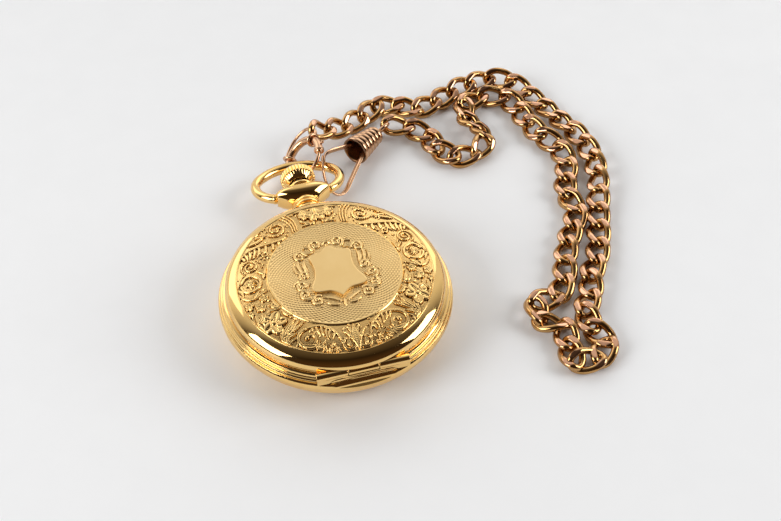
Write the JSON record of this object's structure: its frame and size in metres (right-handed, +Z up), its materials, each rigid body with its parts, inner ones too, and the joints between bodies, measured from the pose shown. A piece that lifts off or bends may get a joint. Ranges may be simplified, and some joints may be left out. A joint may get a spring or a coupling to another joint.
{
  "type": "pocket watch",
  "caption": "Full-hunter pocket watch with hinged engraved front cover, mechanical movement, crown at 12, swinging bow, bolt ring and swivel clip on a curb chain.",
  "frame": {"origin": "on the case axis, at the flat face that the back cover rests on", "axes": "+Z up out of the front cover, +Y to 12 o'clock (pendant, crown, bow), +X to 3 o'clock"},
  "size_m": [0.0923, 0.0898, 0.0137],
  "materials": {
    "gold_polished": "mirror-polished yellow gold plate",
    "gold_engraved": "satin yellow gold plate with relief",
    "steel": "fine-brushed and blued steel",
    "nickel_plate": "nickel-plated, striped",
    "gilt_brass": "gilt brass wheels",
    "glass": "clear mineral glass",
    "enamel": "white enamel dial",
    "blued_steel": "blued steel hands",
    "ruby": "synthetic ruby",
    "gasket_rubber": "black rubber",
    "antique_rose_gold": "worn rose-gold plate with bright cut flats"
  },
  "bodies": {
    "case": {"case_middle": "gold_polished", "case_back": "gold_polished", "hinge_pin": "gold_polished", "lift_spring": "steel", "pendant": "gold_polished", "pendant_tube": "gold_polished", "crystal_bezel": "gold_polished", "crystal": "glass", "dial": "enamel", "movement_ring": "nickel_plate", "mainplate": "nickel_plate", "barrel_bridge": "nickel_plate", "train_bridge": "nickel_plate", "balance_cock": "nickel_plate", "pallet_bridge": "nickel_plate", "bridge_screws": "steel", "jewels": "ruby", "chain_run_1": "antique_rose_gold", "chain_run_2": "antique_rose_gold", "chain_run_3": "antique_rose_gold"},
    "lid": {"front_cover": "gold_engraved"},
    "catch": {"lid_catch": "steel"},
    "bow_ring": {"bow": "gold_polished", "bolt_ring_tube": "antique_rose_gold", "bolt_ring_spring": "steel", "bolt_ring_bail": "antique_rose_gold", "clip_barrel": "antique_rose_gold", "clip_hook": "antique_rose_gold"},
    "ring_bolt": {"bolt_ring_bolt": "antique_rose_gold"},
    "clip_tongue": {"clip_gate": "antique_rose_gold"},
    "clip_eye": {"clip_swivel_eye": "antique_rose_gold"},
    "crown_carrier": {"crown_gasket": "gasket_rubber"},
    "crown_group": {"crown": "gold_polished", "winding_stem": "steel"},
    "winding_gear": {"winding_pinion": "steel"},
    "transmission": {"crown_wheel": "steel"},
    "ratchet": {"ratchet_wheel": "steel", "barrel_arbor": "steel"},
    "pawl": {"click": "steel"},
    "barrel": {"mainspring_barrel": "gilt_brass", "mainspring": "steel"},
    "centre": {"centre_wheel": "gilt_brass"},
    "third": {"third_wheel": "gilt_brass"},
    "fourth": {"fourth_wheel": "gilt_brass", "second_hand": "blued_steel"},
    "escape": {"escape_wheel": "steel"},
    "fork": {"pallet_fork": "steel"},
    "balance": {"balance_wheel": "gilt_brass", "hairspring": "steel"},
    "index": {"regulator": "steel"},
    "minute": {"cannon_pinion": "gilt_brass", "minute_hand": "blued_steel"},
    "motion": {"minute_wheel": "gilt_brass"},
    "hour": {"hour_wheel": "gilt_brass", "hour_hand": "blued_steel"}
  },
  "joints": [
    {"name": "lid_hinge", "type": "hinge", "parent": "case", "child": "lid", "pos_m": [0, -0.0213, 0.009], "axis": [1, 0, 0], "range_deg": [0, 95]},
    {"name": "bow_swing", "type": "hinge", "parent": "case", "child": "bow_ring", "pos_m": [0, 0.0293, 0.0063], "axis": [1, 0, 0], "range_deg": [-60, 110], "deforming": ["chain_run_1", "chain_run_3"]},
    {"name": "crown_push", "type": "slide", "parent": "case", "child": "crown_carrier", "axis": [0, 1, 0], "range_m": [-0.0007, 0.001]},
    {"name": "crown_turn", "type": "hinge", "parent": "crown_carrier", "child": "crown_group", "pos_m": [0, 0.0335, 0.0063], "axis": [0, 1, 0], "continuous": true},
    {"name": "winding_pinion_turn", "type": "hinge", "parent": "case", "child": "winding_gear", "pos_m": [0, 0.0135, 0.0063], "axis": [0, 1, 0], "continuous": true},
    {"name": "crown_wheel_turn", "type": "hinge", "parent": "case", "child": "transmission", "pos_m": [0, 0.0123, 0.002], "axis": [0, 0, 1], "continuous": true},
    {"name": "ratchet_turn", "type": "hinge", "parent": "case", "child": "ratchet", "pos_m": [-0.0072, 0.0057, 0.002], "axis": [0, 0, 1], "continuous": true},
    {"name": "click_lift", "type": "hinge", "parent": "case", "child": "pawl", "pos_m": [-0.0123, -0.0026, 0.00145], "axis": [0, 0, 1], "range_deg": [-12, 0], "stiffness_Nm_per_rad": 0.0004},
    {"name": "seconds_turn", "type": "hinge", "parent": "case", "child": "fourth", "pos_m": [0, -0.0086, 0.005], "axis": [0, 0, 1], "continuous": true},
    {"name": "third_turn", "type": "hinge", "parent": "case", "child": "third", "pos_m": [-0.0066, -0.0064, 0.004], "axis": [0, 0, 1], "continuous": true},
    {"name": "centre_turn", "type": "hinge", "parent": "case", "child": "centre", "pos_m": [0, 0, 0.005], "axis": [0, 0, 1], "continuous": true},
    {"name": "barrel_turn", "type": "hinge", "parent": "case", "child": "barrel", "pos_m": [-0.0072, 0.0057, 0.004], "axis": [0, 0, 1], "continuous": true},
    {"name": "escape_turn", "type": "hinge", "parent": "case", "child": "escape", "pos_m": [0.0056, -0.0122, 0.004], "axis": [0, 0, 1], "continuous": true},
    {"name": "pallet_rock", "type": "hinge", "parent": "case", "child": "fork", "pos_m": [0.0089, -0.0093, 0.0047], "axis": [0, 0, 1], "range_deg": [-1.5, 1.5]},
    {"name": "balance_swing", "type": "hinge", "parent": "case", "child": "balance", "pos_m": [0.0104, -0.0018, 0.0042], "axis": [0, 0, 1], "range_deg": [-270, 270], "stiffness_Nm_per_rad": 0.0000005},
    {"name": "regulator_set", "type": "hinge", "parent": "case", "child": "index", "pos_m": [0.0104, -0.0018, 0.0016], "axis": [0, 0, 1], "range_deg": [-10, 10]},
    {"name": "minute_turn", "type": "hinge", "parent": "case", "child": "minute", "pos_m": [0, 0, 0.007], "axis": [0, 0, 1], "continuous": true},
    {"name": "minute_wheel_turn", "type": "hinge", "parent": "case", "child": "motion", "pos_m": [0.0029, 0.00213, 0.0067], "axis": [0, 0, 1], "continuous": true},
    {"name": "hour_turn", "type": "hinge", "parent": "case", "child": "hour", "pos_m": [0, 0, 0.0075], "axis": [0, 0, 1], "continuous": true},
    {"name": "catch_release", "type": "slide", "parent": "case", "child": "catch", "axis": [0, 1, 0], "range_m": [-0.00002, 0.0004], "stiffness_N_per_m": 400},
    {"name": "ring_bolt_draw", "type": "hinge", "parent": "bow_ring", "child": "ring_bolt", "pos_m": [0.0032, 0.0424, 0.00405], "axis": [-0.6691, 0, 0.7431], "range_deg": [0, 22], "stiffness_Nm_per_rad": 0.02},
    {"name": "clip_gate_open", "type": "hinge", "parent": "bow_ring", "child": "clip_tongue", "pos_m": [0.01455, 0.04375, 0.0037], "axis": [0, 0, 1], "range_deg": [0, 8], "stiffness_Nm_per_rad": 0.02},
    {"name": "clip_eye_turn", "type": "hinge", "parent": "bow_ring", "child": "clip_eye", "pos_m": [0.0213, 0.0472, 0.00275], "axis": [0.7783, 0.6202, -0.0973], "continuous": true}
  ],
  "couplings": [
    {"joint": "winding_pinion_turn", "follows": "crown_turn", "ratio": 1},
    {"joint": "crown_wheel_turn", "follows": "crown_turn", "ratio": 1},
    {"joint": "ratchet_turn", "follows": "crown_turn", "ratio": -0.66667},
    {"joint": "third_turn", "follows": "seconds_turn", "ratio": -0.13333},
    {"joint": "centre_turn", "follows": "seconds_turn", "ratio": 0.016667},
    {"joint": "barrel_turn", "follows": "seconds_turn", "ratio": -0.0025641},
    {"joint": "escape_turn", "follows": "seconds_turn", "ratio": -10},
    {"joint": "minute_wheel_turn", "follows": "minute_turn", "ratio": -0.33333},
    {"joint": "hour_turn", "follows": "minute_turn", "ratio": 0.083333}
  ]
}
